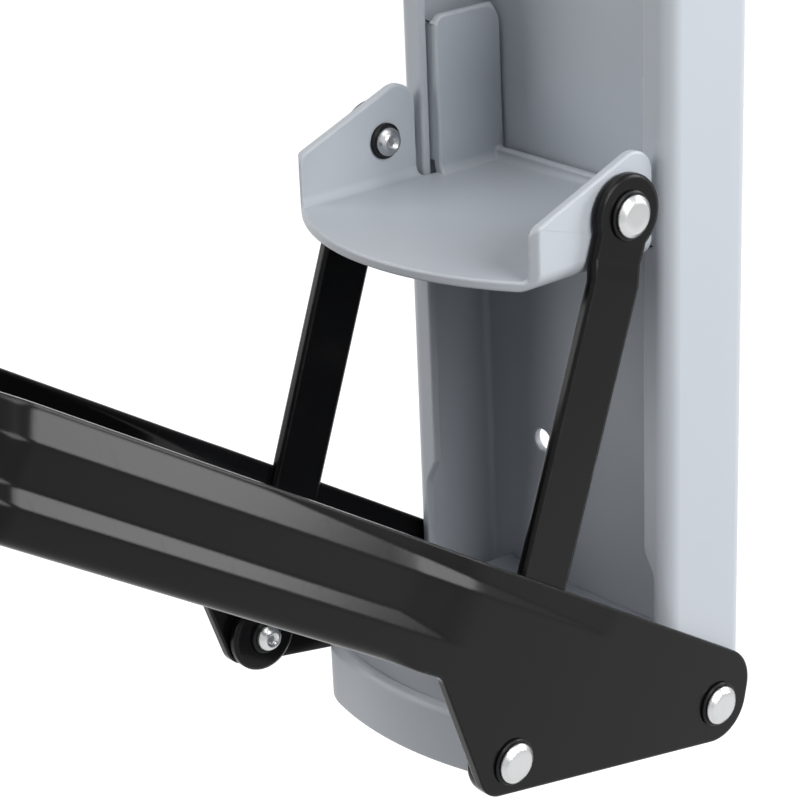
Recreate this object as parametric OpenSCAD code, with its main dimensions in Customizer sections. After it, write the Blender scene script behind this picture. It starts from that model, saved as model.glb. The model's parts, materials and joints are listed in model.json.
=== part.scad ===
// Wall-mounted lever can crusher. A pressed-steel channel screws to the wall, a can stands on
// the shelf at its foot, and a forked hand lever pulls a guided ram down on to the can through
// two flat links. Millimetres. Z is up, the front faces -Y, the wall is the plane Y = 0 and the
// origin is the centre of the four wall screw holes.

/* [Frame] */
// Overall width over the two side walls of the channel
frame_w = 98; // [90:1:110]
// Depth of the channel from the wall to the front face of its lips
frame_depth = 28.5; // [26:0.5:34]
// Sheet thickness of the channel
frame_t = 2.5; // [2:0.1:3]
// Height of the channel above the can seat
frame_rise = 205; // [190:1:240]
// Depth of the channel below the can seat
frame_drop = 20; // [18:1:26]
// Outside radius of the bent corners of the channel
frame_bend_r = 4.5; // [3.5:0.5:5]
// Width of the inward front lips
lip_w = 8.8; // [7:0.1:10]
// Width of the lips where they step back beside the lever
lip_low_w = 5.1; // [4.8:0.1:6]
// Height above the seat at which the lips step
lip_step_z = 33; // [28:1:38]
// Height above the seat at which the side walls start to taper back for the links
wall_cut_z = 8; // [4:1:12]
// How far the front edge of each side wall stands back at its foot
wall_cut_back = 5; // [3:0.5:6]

/* [Wall mount] */
// Width between the wall screw holes
screw_dx = 50; // [40:1:60]
// Height between the wall screw holes
screw_dz = 150; // [120:1:160]
// Diameter of the wall screw holes
screw_d = 6.5; // [5:0.1:8]
// Height of the upper wall screw holes above the can seat
screw_top_z = 190; // [182:1:195]

/* [Shelf] */
// Gap between the shelf and the lip on each side
shelf_gap = 0.2; // [0.1:0.1:1.5]
// How far the shelf reaches in front of the wall
shelf_reach = 80.5; // [76:0.5:86]
// Sheet thickness of the shelf
shelf_t = 2; // [1.6:0.1:2.4]
// Radius of the bowed front edge
shelf_front_r = 100; // [90:5:140]
// Radius of the front corners
shelf_corner_r = 18; // [14:1:22]
// Height of the rolled rim above the seat
rim_h = 1.6; // [1:0.1:2.4]
// Depth of the skirt below the seat
skirt_h = 15; // [12:1:18]
// Width of the rim and its fillet, in from the outside
rim_w = 5.5; // [5:0.5:7]
// Diameter of the rivets that hold the shelf
rivet_d = 4.8; // [4:0.1:5.5]
// Width between the two shelf rivets
rivet_dx = 44; // [36:1:50]
// Depth of the shelf rivets below the seat
rivet_drop = 9; // [8:0.5:10]

/* [Ram] */
// Gap between the shelf and the underside of the ram in the drawn position
can_gap = 116; // [112:1:124]
// Sheet thickness of the ram
ram_t = 2.5; // [2:0.1:3]
// How far the front of the ram reaches in front of the wall
ram_reach = 82; // [78:0.5:88]
// How far the ears reach in front of the wall
ear_reach = 68; // [64:0.5:72]
// Height of the ears at their front edge, from the underside of the ram
ear_front_h = 15.2; // [13:0.2:20]
// Slope of the top edge of the ears
ear_slope = 21.3; // [15:0.1:28]
// Radius of the upper rear corner of the ears
ear_rear_r = 6; // [4:0.5:10]
// Radius of the upper front corner of the ears
ear_front_r = 3.5; // [2:0.5:6]
// Height of the guide tabs from the underside of the ram
tab_h = 44; // [38:1:50]
// Radius of the upper rear corner of the guide tabs
tab_rear_r = 6; // [3:0.5:8]
// Radius of the upper front corner of the guide tabs
tab_front_r = 3; // [2:0.5:6]
// Height of the turned-up rear edge of the ram from its underside
heel_h = 5.5; // [5.5:0.5:8]
// Outside bend radius of the turned-up rear edge
heel_r = 4.5; // [3.5:0.5:4.5]
// Length of the guide lugs that run behind the lips
lug_h = 16; // [10:1:22]
// Outside bend radius of the ram
ram_bend_r = 5; // [3.5:0.5:5.5]

/* [Links] */
// Thickness of the link bar
link_t = 3; // [2.5:0.1:4]
// Width of the link bar
link_w = 16; // [12:0.5:17]
// Radius of the eye at the ram
eye_top_r = 10; // [9:0.5:11]
// Radius of the eye at the lever
eye_low_r = 10; // [9:0.5:11]
// Sideways offset of the joggle below the upper eye
joggle = 1.2; // [1:0.1:2]
// Distance of the joggle from the ram pivot
joggle_at = 12; // [10:0.5:16]
// Length of the joggle
joggle_len = 5; // [3:0.5:8]

/* [Pivots] */
// Diameter of every pivot pin
pin_d = 8; // [6:0.5:9]
// Diameter of the pin heads
head_d = 10.5; // [9.6:0.1:12]
// Height of the pin heads
head_h = 1.8; // [1.4:0.1:2.4]
// Width of the bevel on the pin heads
head_bevel = 1.2; // [0.8:0.1:1.6]
// Diameter of the black collars under the heads
collar_d = 12.2; // [12:0.1:14]
// Thickness of the black collars
collar_t = 0.8; // [0.5:0.1:1.2]
// Diameter of the flange of the pin nuts
nut_flange_d = 9.4; // [9.2:0.1:11]
// Height of the pin nuts
nut_h = 3.6; // [3:0.1:4]
// Diameter of the thin end of the pins inside their nuts
stub_d = 5.2; // [4.4:0.1:5.6]
// Distance of the ram pivot in front of the wall
ram_pin_y = 40.2; // [40:0.1:42]
// Height of the ram pivot above the underside of the ram
ram_pin_h = 13.7; // [12.8:0.1:16]
// Distance of the main pivot in front of the wall
main_pin_y = 13; // [12.8:0.1:14]
// Depth of the main pivot below the can seat
main_pin_drop = 9.2; // [8:0.1:12]

/* [Lever] */
// Sheet thickness of the lever
lever_t = 3; // [2.5:0.1:3.5]
// Angle of the handle above the horizontal in the drawn position
lever_angle = 32; // [24:1:36]
// Distance of the link pivot from the main pivot, along the handle
crank_along = 67.5; // [62:0.5:72]
// Distance of the link pivot from the main pivot, below the handle line
crank_below = 29.1; // [26:0.1:32]
// Radius of the lever round the main pivot
lever_boss_r = 11; // [10:0.5:11.5]
// Height of the top edge of the lever above the main pivot
lever_top = 14.6; // [13:0.1:16]
// Depth of the handle trough
trough_h = 29.2; // [27:0.2:31]
// Distance of the concave corner under the handle from the main pivot
throat_at = 102; // [98:0.5:106]
// Distance from the main pivot to where the trough starts to narrow
taper_at = 236; // [230:1:250]
// Distance from the main pivot to where the tang starts
tang_at = 286; // [270:1:300]
// Distance from the main pivot to the joint between the fork plates and the trough
fork_reach = 114; // [112:1:120]
// How far the upper ledge of the handle leans in
upper_step = 4; // [2:0.5:5]
// How far the lower ledge of the handle steps in
lower_step = 2.5; // [1.5:0.5:3]
// Depth below the top edge at which the upper ledge ends
upper_line = 7.3; // [5:0.1:9]
// Depth below the top edge at which the lower ledge starts
ledge_top = 16.7; // [14:0.1:18]
// Depth below the top edge at which the lower ledge ends
ledge_low = 20.6; // [19.5:0.1:22]
// Radius of the upper rear corner of the lever
rear_corner_r = 11; // [6:0.5:12]
// Radius of the lever below the link pivot
toe_r = 7; // [5:0.5:8]
// How far the lower corner of the lever lies ahead of the link pivot
toe_ahead = 3.6; // [2:0.2:6]
// How far the lower corner of the lever lies below the link pivot
toe_below = 10.8; // [9.6:0.2:12]
// Radius of the concave corner under the handle
throat_r = 5; // [3:0.5:8]

/* [Grip] */
// Width of the tang inside the grip
tang_w = 20; // [18:1:22]
// Height of the tang inside the grip
tang_h = 18; // [16:1:20]
// Diameter of the grip
grip_d = 34; // [30:1:38]
// Length of the grip
grip_len = 104; // [95:1:120]
// Solid length of the grip beyond the tang
grip_end = 14; // [10:1:20]

/* [Clearances] */
// Side gap between the ear, the link and the lever
side_gap = 0.3; // [0.2:0.05:0.4]
// Gap under the collars of the pivots that turn
collar_gap = 0.05; // [0.03:0.01:0.1]
// Radial running clearance of the pins
pin_play = 0.05; // [0.03:0.01:0.1]
// Gap between the ram and the channel
ram_gap = 0.5; // [0.3:0.05:0.8]
// Gap between the ears and the front face of the lips
ear_gap = 1; // [0.6:0.1:1.5]

/* [Hidden] */
$fn = 64;
eps = 0.01;
frame_paint = [0.72, 0.75, 0.79];
lever_black = [0.09, 0.09, 0.10];
zinc = [0.86, 0.87, 0.88];
rubber_black = [0.05, 0.05, 0.05];

// Heights, measured from the centre of the wall screw holes
seat_z = screw_dz / 2 - screw_top_z;
frame_top_z = seat_z + frame_rise;
frame_foot_z = seat_z - frame_drop;
ram_z = seat_z + can_gap;

// Channel walls
wall_out = frame_w / 2;
wall_in = wall_out - frame_t;
lip_edge = wall_out - lip_w;
lip_low_edge = wall_out - lip_low_w;
lip_back = frame_depth - frame_t;
// Round on the cut edges of the sheet
cut_edge_r = 0.8;

// Side stack, from the lever inwards
plate_in = wall_out + side_gap;
plate_out = plate_in + lever_t;
bar_out = wall_out;
bar_in = bar_out - link_t;
eye_out = bar_out - joggle;
eye_in = eye_out - link_t;
ear_out = eye_in - side_gap;
ear_in = ear_out - ram_t;

// Pivot axes as [y, z]
ram_pin = [-ram_pin_y, ram_z + ram_pin_h];
main_pin = [-main_pin_y, seat_z - main_pin_drop];
handle_dir = [-cos(lever_angle), sin(lever_angle)];
handle_up = [sin(lever_angle), cos(lever_angle)];
link_pin = main_pin + crank_along * handle_dir - crank_below * handle_up;
link_vec = link_pin - ram_pin;
link_len = norm(link_vec);
link_lean = atan2(-link_vec[0], -link_vec[1]);
trough_low = lever_top - trough_h;
tang_top = (lever_top + trough_low + tang_h) / 2;
// Size of the folded lower corners of the trough
trough_chamfer = 2.5;
pin_hole_r = pin_d / 2 + pin_play;
stub_r = stub_d / 2;
stub_len = nut_h - 1.2;

// Shelf, with the centres of its front edge and of its corners
shelf_half = lip_edge - shelf_gap;
shelf_back = frame_t;
shelf_y = shelf_front_r - shelf_reach;
corner_x = shelf_half - shelf_corner_r;
corner_y = shelf_y - sqrt(pow(shelf_front_r - shelf_corner_r, 2) - pow(corner_x, 2));
corner_sweep = asin(corner_x / (shelf_front_r - shelf_corner_r));
// Countersink and dome of the shelf rivets
rivet_sink = 1.2;
rivet_dome = 1.6;

// Ram guide
tab_out = lip_edge - ram_gap;
tab_front = lip_back - ram_gap;
tab_back = frame_t + 2 * ram_gap;
ear_rear = frame_depth + ear_gap;
// Clears the inside round of the channel corner
lug_corner = (frame_bend_r - frame_t) / 2;

// Unit vector
function unit(v) = v / norm(v);
// Half of the inside angle at corner b between a and c
function half_angle(a, b, c) = acos(unit(a - b) * unit(c - b)) / 2;
// Where a round of radius r touches the side from b towards a
function touch(a, b, c, r) = b + unit(a - b) * r / tan(half_angle(a, b, c));
// Centre of a round of radius r at corner b
function round_centre(a, b, c, r) = b + unit(unit(a - b) + unit(c - b)) * r / sin(half_angle(a, b, c));
// Cross product of two plane vectors
function turn(a, b) = a[0] * b[1] - a[1] * b[0];

// Outline through counter-clockwise corners, each with its own radius
module rounded_outline(corners, radii) {
  n = len(corners);
  // Corner with wrap-around
  function p(i) = corners[(i + n) % n];
  function outer(i) = turn(p(i) - p(i - 1), p(i + 1) - p(i)) > 0;
  function start(i) = touch(p(i - 1), p(i), p(i + 1), radii[i]);
  function end(i) = touch(p(i + 1), p(i), p(i - 1), radii[i]);
  // Slice of the round that lies between its two ends and the corner. It sits a hair nearer to
  // the corner, so that it crosses both sides cleanly.
  module slice(i) {
    centre = round_centre(p(i - 1), p(i), p(i + 1), radii[i]);
    intersection() {
      translate(centre + eps * unit(p(i) - centre)) circle(radii[i]);
      polygon([start(i), p(i), end(i)]);
    }
  }
  difference() {
    union() {
      polygon([for (i = [0:n - 1]) each radii[i] > 0 ? [start(i), end(i)] : [p(i)]]);
      for (i = [0:n - 1]) if (radii[i] > 0 && outer(i)) slice(i);
    }
    for (i = [0:n - 1]) if (radii[i] > 0 && !outer(i)) slice(i);
  }
}

// Extrudes a [y, z] outline from x0 to x1
module side_plate(x0, x1) {
  translate([x0, 0, 0]) rotate([90, 0, 90]) linear_extrude(x1 - x0) children();
}

// Cylinder along X at a [y, z] point, from x0 to x1
module cross_pin(at, r, x0, x1, r_end = -1) {
  translate([x0, at[0], at[1]]) rotate([0, 90, 0])
    cylinder(h = x1 - x0, r1 = r, r2 = r_end < 0 ? r : r_end);
}

// Mirrors a right-hand piece to the left when side is -1
module on_side(side) {
  if (side > 0) children();
  else mirror([1, 0, 0]) children();
}

// Frame ------------------------------------------------------------------------------------

// Plan of the channel
module channel_section() {
  ri = frame_bend_r - frame_t;
  cut = cut_edge_r;
  rounded_outline(
    [[-wall_out, -frame_depth], [-lip_edge, -frame_depth], [-lip_edge, -lip_back],
     [-wall_in, -lip_back], [-wall_in, -frame_t], [wall_in, -frame_t], [wall_in, -lip_back],
     [lip_edge, -lip_back], [lip_edge, -frame_depth], [wall_out, -frame_depth], [wall_out, 0],
     [-wall_out, 0]],
    [frame_bend_r, cut, cut, ri, ri, ri, ri, cut, cut, frame_bend_r, frame_bend_r, frame_bend_r]);
}

// Front view of what the lips lose beside the lever
module lip_step() {
  high = lip_step_z + 4;
  low = lip_step_z - 3;
  bottom = frame_foot_z - 1;
  rounded_outline(
    [[-lip_low_edge, bottom], [lip_low_edge, bottom], [lip_low_edge, seat_z + low],
     [lip_edge, seat_z + high], [-lip_edge, seat_z + high], [-lip_low_edge, seat_z + low]],
    [0, 0, 6, 0, 0, 6]);
}

// Side view of what the walls lose in front of the main pivot
module wall_taper() {
  rounded_outline(
    [[-frame_depth - 1, frame_foot_z - 1], [-frame_depth + wall_cut_back, frame_foot_z - 1],
     [-frame_depth + wall_cut_back, main_pin[1] - 2], [-frame_depth, seat_z + wall_cut_z],
     [-frame_depth - 1, seat_z + wall_cut_z]],
    [0, 0, 9, 0, 0]);
}

module frame_channel() {
  color(frame_paint)
    difference() {
      translate([0, 0, frame_foot_z])
        linear_extrude(frame_top_z - frame_foot_z) channel_section();
      translate([0, -lip_back + frame_bend_r, 0]) rotate([90, 0, 0])
        linear_extrude(frame_t + frame_bend_r + 1) lip_step();
      side_plate(-wall_out - 1, wall_out + 1) wall_taper();
      for (x = [-1, 1], z = [-1, 1])
        translate([x * screw_dx / 2, 1, z * screw_dz / 2]) rotate([90, 0, 0])
          cylinder(h = frame_t + 2, d = screw_d);
      for (s = [-1, 1])
        on_side(s) cross_pin(main_pin, pin_d / 2, wall_in - 1, wall_out + 1);
      for (x = [-1, 1]) rivet_at(x) {
        cylinder(h = frame_t + 2, r = rivet_d / 2, center = true);
        rivet_cone();
      }
    }
}

// Shelf ------------------------------------------------------------------------------------

// Plan of the shelf, drawn in by d
module shelf_plan(d) {
  tip = [0, shelf_y] + 1.2 * shelf_front_r * unit([corner_x, corner_y - shelf_y]);
  intersection() {
    translate([0, shelf_y]) circle(shelf_front_r - d, $fn = 128);
    polygon([[-corner_x, corner_y], [-tip[0], tip[1]], tip, [corner_x, corner_y]]);
  }
  for (x = [-1, 1]) translate([x * corner_x, corner_y]) circle(shelf_corner_r - d);
  polygon([[-shelf_half + d, -shelf_back], [-shelf_half + d, corner_y], [-corner_x, corner_y],
    [0, corner_y - shelf_corner_r / 2], [corner_x, corner_y], [shelf_half - d, corner_y],
    [shelf_half - d, -shelf_back]]);
}

// Section of the rim and skirt: x is the distance in from the outside, y the height
module rim_section() {
  crown = shelf_t + 0.6;
  polygon([[0, -skirt_h], [shelf_t, -skirt_h], [shelf_t, -shelf_t], [rim_w, -shelf_t],
    [rim_w, 0], [crown + 1.2, rim_h * 0.35], [crown, rim_h], [1.4, rim_h], [0.4, rim_h * 0.6],
    [0, -0.4]]);
}

// One turn of the rim section, kept between two directions given in degrees
module rim_arc(r, from, to) {
  intersection() {
    rotate_extrude() translate([r, 0]) mirror([1, 0]) rim_section();
    translate([0, 0, -skirt_h - 1]) linear_extrude(skirt_h + rim_h + 2)
      polygon([[0, 0], 1.2 * r * [cos(from), sin(from)], 1.2 * r * [cos(to), sin(to)]]);
  }
}

// Rim section laid out along the edge of the shelf
module rim_sweep() {
  translate([0, shelf_y, seat_z]) rim_arc(shelf_front_r, -90 - corner_sweep, -90 + corner_sweep);
  for (s = [-1, 1]) on_side(s) {
    translate([corner_x, corner_y, seat_z]) rim_arc(shelf_corner_r, -90 + corner_sweep, 0);
    translate([shelf_half, -shelf_back, seat_z]) rotate([90, 0, 0])
      linear_extrude(-corner_y - shelf_back) mirror([1, 0]) rim_section();
  }
}

// Runs its children outwards from the wall at a shelf rivet, from the middle of the back wall
module rivet_at(side) {
  translate([side * rivet_dx / 2, -frame_t / 2, seat_z - rivet_drop]) rotate([90, 0, 0]) children();
}

// Countersunk part of a shelf rivet
module rivet_cone() {
  translate([0, 0, -frame_t / 2])
    cylinder(h = rivet_sink, r1 = rivet_d / 2 + rivet_sink, r2 = rivet_d / 2);
}

module base_shelf() {
  color(frame_paint)
    difference() {
      union() {
        translate([0, 0, seat_z - shelf_t]) linear_extrude(shelf_t) shelf_plan(rim_w);
        rim_sweep();
        translate([-shelf_half + shelf_t - eps, -shelf_back - shelf_t, seat_z - skirt_h])
          cube([2 * (shelf_half - shelf_t + eps), shelf_t, skirt_h - shelf_t + eps]);
      }
      for (x = [-1, 1]) rivet_at(x) cylinder(h = 4 * frame_t, r = rivet_d / 2, center = true);
    }
}

// Countersunk at the wall, domed inside
module shelf_rivets() {
  color(zinc)
    for (x = [-1, 1]) rivet_at(x) {
      grip = frame_t / 2 + shelf_t;
      translate([0, 0, -frame_t / 2]) cylinder(h = frame_t / 2 + grip, r = rivet_d / 2);
      rivet_cone();
      translate([0, 0, grip]) cylinder(h = rivet_dome, r1 = rivet_d * 0.85, r2 = rivet_d * 0.55);
    }
}

// Ram --------------------------------------------------------------------------------------

// Side view of the ear and of the floor in front of it
module ear_side() {
  rise = tan(ear_slope) * (ear_reach - ear_rear);
  top = ram_z + ear_front_h;
  rounded_outline(
    [[-ram_reach - 1, ram_z - 1], [-ear_rear, ram_z - 1], [-ear_rear, top + rise],
     [-ear_reach, top], [-ear_reach, ram_z + ram_t], [-ram_reach - 1, ram_z + ram_t]],
    [0, 0, ear_rear_r, ear_front_r, cut_edge_r, 0]);
}

// Plan of the front of the ram, with its bowed edge
module ram_plan() {
  bow = ram_reach - ear_reach + 1.5;
  r = (ear_out * ear_out + bow * bow) / (2 * bow);
  intersection() {
    translate([0, r - ram_reach]) circle(r, $fn = 128);
    translate([-ear_out - 1, -ram_reach - 1]) square([2 * ear_out + 2, ram_reach + 1 - ear_rear]);
  }
}

// U section, x across and y up, half width w and height h
module u_section(w, h, r) {
  rounded_outline(
    [[-w, 0], [w, 0], [w, h], [w - ram_t, h], [w - ram_t, ram_t], [-w + ram_t, ram_t],
     [-w + ram_t, h], [-w, h]],
    [r, r, 0, 0, r - ram_t, r - ram_t, 0, 0]);
}

// Side view of the guide tab and of the turned-up heel
module tab_side() {
  rounded_outline(
    [[-tab_front, ram_z - 1], [-tab_back, ram_z - 1], [-tab_back, ram_z + tab_h],
     [-tab_front, ram_z + tab_h]],
    [0, 0, tab_rear_r, tab_front_r]);
}

module ram_plate() {
  far = ear_rear + 1;
  color(frame_paint)
    difference() {
      union() {
        // Front tray with the two ears
        intersection() {
          translate([0, -ear_rear, ram_z]) rotate([90, 0, 0])
            linear_extrude(ram_reach + 5) u_section(ear_out, 80, ram_bend_r);
          translate([0, 0, ram_z - 1]) linear_extrude(100) ram_plan();
          side_plate(-ear_out - 1, ear_out + 1) ear_side();
        }
        // Tongue between the lips
        translate([-tab_out, -far, ram_z]) cube([2 * tab_out, far - tab_front, ram_t]);
        translate([-tab_out + ram_bend_r, -tab_front - 1, ram_z])
          cube([2 * (tab_out - ram_bend_r), 3, ram_t]);
        // Guide tabs
        intersection() {
          translate([0, -tab_back, ram_z]) rotate([90, 0, 0])
            linear_extrude(tab_front - tab_back) u_section(tab_out, 80, ram_bend_r);
          side_plate(-tab_out - 1, tab_out + 1) tab_side();
        }
        // Turned-up heel against the back wall
        side_plate(-tab_out + ram_t / 2, tab_out - ram_t / 2)
          rounded_outline(
            [[-tab_back - heel_r - 4, ram_z], [-tab_back, ram_z], [-tab_back, ram_z + heel_h],
             [-tab_back - ram_t, ram_z + heel_h], [-tab_back - ram_t, ram_z + ram_t],
             [-tab_back - heel_r - 4, ram_z + ram_t]],
            [0, heel_r, cut_edge_r, cut_edge_r, heel_r - ram_t, 0]);
        // Lugs that run behind the lips
        for (s = [-1, 1]) on_side(s)
          translate([tab_out - ram_t, -tab_front, ram_z + tab_h - 2 - lug_h])
            cube([wall_in - ram_gap - lug_corner - tab_out + ram_t, ram_t, lug_h]);
      }
      // Heel corner rounded like the bend
      translate([-tab_out - 1, -tab_back, ram_z]) rotate([90, 0, 90])
        linear_extrude(2 * tab_out + 2) difference() {
          translate([-heel_r, -1]) square([heel_r + 1, heel_r + 1]);
          translate([-heel_r, heel_r]) circle(heel_r);
        }
      for (s = [-1, 1]) on_side(s) cross_pin(ram_pin, pin_d / 2, ear_in - 1, ear_out + 1);
    }
}

// Pivots -----------------------------------------------------------------------------------

// Pin with a bevelled head, from shank end x0 to the underside of the head x1
module headed_pin(at, x0, x1) {
  cross_pin(at, pin_d / 2, x0, x1 + eps);
  cross_pin(at, head_d / 2, x1, x1 + head_h * 0.45);
  cross_pin(at, head_d / 2, x1 + head_h * 0.45, x1 + head_h, head_d / 2 - head_bevel);
}

// Black collar between x0 and x0 + collar_t
module collar(at, x0) {
  difference() {
    cross_pin(at, collar_d / 2, x0, x0 + collar_t);
    cross_pin(at, pin_d / 2, x0 - 1, x0 + collar_t + 1);
  }
}

// Flanged cap nut that ends a pin on the inside, its flange on the face at x1
module pin_nut(at, x1, bored = true) {
  body_r = nut_flange_d / 2 - 1.1;
  difference() {
    union() {
      cross_pin(at, nut_flange_d / 2, x1 - 1, x1);
      cross_pin(at, body_r, x1 - 1.8, x1 - 1 + eps);
      cross_pin(at, body_r - 1.2, x1 - nut_h, x1 - 1.8 + eps, body_r);
    }
    if (bored) cross_pin(at, stub_r, x1 - stub_len, x1 + 1);
    cross_pin(at, 1.3, x1 - nut_h - 1, x1 - nut_h + 0.7);
  }
}

// Thin end of a pin inside its nut
module pin_stub(at, x1) {
  cross_pin(at, stub_r, x1 - stub_len, x1 + 1);
}

// Main pivot, fixed in the frame
module main_pivot(side) {
  color(zinc) on_side(side) {
    headed_pin(main_pin, wall_in, plate_out + collar_gap + collar_t);
    pin_stub(main_pin, wall_in);
  }
}
module main_pin_left() { main_pivot(-1); }
module main_pin_right() { main_pivot(1); }
module main_nut_left() { color(zinc) on_side(-1) pin_nut(main_pin, wall_in); }
module main_nut_right() { color(zinc) on_side(1) pin_nut(main_pin, wall_in); }
module main_collar(side) { color(lever_black) on_side(side) collar(main_pin, plate_out + collar_gap); }
module main_collar_left() { main_collar(-1); }
module main_collar_right() { main_collar(1); }

// Ram pivot, fixed in the ram ears
module ram_pivot(side) {
  color(zinc) on_side(side) {
    headed_pin(ram_pin, ear_in, eye_out + collar_gap + collar_t);
    pin_stub(ram_pin, ear_in);
  }
}
module ram_pin_left() { ram_pivot(-1); }
module ram_pin_right() { ram_pivot(1); }
module ram_nut_left() { color(zinc) on_side(-1) pin_nut(ram_pin, ear_in); }
module ram_nut_right() { color(zinc) on_side(1) pin_nut(ram_pin, ear_in); }
module ram_collar(side) { color(lever_black) on_side(side) collar(ram_pin, eye_out + collar_gap); }
module ram_collar_left() { ram_collar(-1); }
module ram_collar_right() { ram_collar(1); }

// Lever pivot: the head half rides on the lever, the nut half rides on the link
module lever_pivot(side) {
  color(zinc) on_side(side) headed_pin(link_pin, plate_in + collar_gap, plate_out + collar_t);
}
module lever_pin_left() { lever_pivot(-1); }
module lever_pin_right() { lever_pivot(1); }
module lever_collar(side) { color(lever_black) on_side(side) collar(link_pin, plate_out); }
module lever_collar_left() { lever_collar(-1); }
module lever_collar_right() { lever_collar(1); }
module lever_stub(side) {
  color(zinc) on_side(side) {
    cross_pin(link_pin, pin_d / 2, bar_in - eps, bar_out - collar_gap);
    pin_nut(link_pin, bar_in, false);
  }
}
module lever_nut_left() { lever_stub(-1); }
module lever_nut_right() { lever_stub(1); }

// Links ------------------------------------------------------------------------------------

// Face of the link in its own frame: ram pivot at the origin, lever pivot straight below
module link_face() {
  flare = 8;
  bend = 16;
  w = link_w / 2;
  top = -0.35 * eye_top_r;
  low = 0.35 * eye_low_r - link_len;
  circle(eye_top_r);
  translate([0, -link_len]) circle(eye_low_r);
  rounded_outline(
    [[0.82 * eye_top_r, top], [-0.82 * eye_top_r, top], [-w, top - flare], [-w, low + flare],
     [-0.82 * eye_low_r, low], [0.82 * eye_low_r, low], [w, low + flare], [w, top - flare]],
    [0, 0, bend, bend, 0, 0, bend, bend]);
}

// Section along the link: x is outwards, y along the link
module link_section() {
  polygon([
    [eye_in, eye_top_r + 1], [eye_in, -joggle_at], [bar_in, -joggle_at - joggle_len],
    [bar_in, -link_len - eye_low_r - 1], [bar_out, -link_len - eye_low_r - 1],
    [bar_out, -joggle_at - joggle_len + 0.6], [eye_out, -joggle_at + 0.6],
    [eye_out, eye_top_r + 1]]);
}

module link_bar(side) {
  color(lever_black) on_side(side)
    translate([0, ram_pin[0], ram_pin[1]]) rotate([-link_lean, 0, 0])
      difference() {
        intersection() {
          translate([eye_in - 1, 0, 0]) rotate([90, 0, 90])
            linear_extrude(bar_out - eye_in + 2) link_face();
          translate([0, eye_top_r + 1, 0]) rotate([90, 0, 0])
            linear_extrude(2 * eye_top_r + 2) link_section();
        }
        cross_pin([0, 0], pin_hole_r, eye_in - 1, eye_out + 1);
        cross_pin([0, -link_len], pin_d / 2, bar_in - 1, bar_out + 1);
      }
}
module link_left() { link_bar(-1); }
module link_right() { link_bar(1); }

// Lever ------------------------------------------------------------------------------------

// Places a lever shape: x across, y along the handle, z square to it, main pivot at the origin
module on_lever() {
  translate([0, main_pin[0], main_pin[1]]) rotate([-lever_angle, 0, 0]) mirror([0, 1, 0]) children();
}

// Side view of the fork plate: x along the handle, y square to it
module fork_side() {
  // Directions in which the rear edge and the lower edge touch the round boss
  toe = [crank_along + toe_ahead, -crank_below - toe_below];
  rear = 160;
  low = 360 + atan2(toe[1], toe[0]) - acos(lever_boss_r / norm(toe));
  mid = (rear + low) / 2;
  boss = lever_boss_r / cos(mid - rear) * [cos(mid), sin(mid)];
  heel_x = (lever_boss_r - lever_top * sin(rear)) / cos(rear);
  rounded_outline(
    [boss, toe, [throat_at, trough_low], [fork_reach, trough_low], [fork_reach, lever_top],
     [heel_x, lever_top]],
    [lever_boss_r, toe_r, throat_r, 0, 0, rear_corner_r]);
}

module fork_plate(side) {
  color(lever_black) on_side(side)
    difference() {
      on_lever() translate([plate_in, 0, 0]) rotate([90, 0, 90])
        linear_extrude(lever_t) fork_side();
      cross_pin(main_pin, pin_hole_r, plate_in - 1, plate_out + 1);
      cross_pin(link_pin, pin_d / 2, plate_in - 1, plate_out + 1);
    }
}
module fork_left() { fork_plate(-1); }
module fork_right() { fork_plate(1); }

// Smooth rise from 0 to 1
function ease(s) = s <= 0 ? 0 : s >= 1 ? 1 : s * s * (3 - 2 * s);
function narrow(v) = ease((v - taper_at) / (tang_at - taper_at));
function half_x(v) = plate_out + (tang_w / 2 - plate_out) * narrow(v);
function top_y(v) = lever_top + (tang_top - lever_top) * narrow(v);
function low_y(v) = trough_low + (tang_top - tang_h - trough_low) * narrow(v);
function lean_in(v) = upper_step * ease((v - fork_reach) / 60) * (1 - 0.7 * narrow(v));
function step_in(v) = lower_step * ease((v - fork_reach) / 22) * (1 - 0.7 * narrow(v));

// Right half of the trough section from the top edge down, drawn in by d
function wall_line(v, d) =
  let (h = half_x(v) - d, a = lean_in(v), b = step_in(v), t = top_y(v), k = (t - low_y(v)) / trough_h)
  [[h - b - a, t], [h - b, t - upper_line * k], [h - b, t - ledge_top * k],
   [h, t - ledge_low * k], [h, low_y(v) + d / 2 + trough_chamfer],
   [h - trough_chamfer + d / 2, low_y(v) + d]];
function reversed(l) = [for (i = [len(l) - 1:-1:0]) l[i]];
function flipped(l) = [for (q = l) [-q[0], q[1]]];
function trough_section(v) =
  concat(wall_line(v, 0), reversed(flipped(wall_line(v, 0))), flipped(wall_line(v, lever_t)),
    reversed(wall_line(v, lever_t)));

// Skins a list of closed sections, each a list of [x, z] points at its own y
module skin(stations) {
  n = len(trough_section(stations[0]));
  last = len(stations) - 1;
  points = [for (v = stations) each [for (q = trough_section(v)) [q[0], v, q[1]]]];
  sides = [for (k = [0:last - 1], i = [0:n - 1]) let (a = k * n + i, b = k * n + (i + 1) % n)
    each [[a, a + n, b], [b, a + n, b + n]]];
  // Each end is closed wall by wall, between an outer point and the inner point facing it
  ends = [for (j = [0:n / 2 - 2]) let (a = last * n)
    each [[j, j + 1, n - 2 - j], [j, n - 2 - j, n - 1 - j],
      [a + j, a + n - 2 - j, a + j + 1], [a + j, a + n - 1 - j, a + n - 2 - j]]];
  polyhedron(points, concat(sides, ends));
}

module handle_trough() {
  steps = 8;
  rising = [fork_reach, fork_reach + 5, fork_reach + 11, fork_reach + 17, fork_reach + 22,
    fork_reach + 34, fork_reach + 46, fork_reach + 60];
  color(lever_black) on_lever()
    skin(concat(rising, [for (i = [0:steps]) taper_at + (tang_at - taper_at) * i / steps]));
}

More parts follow.
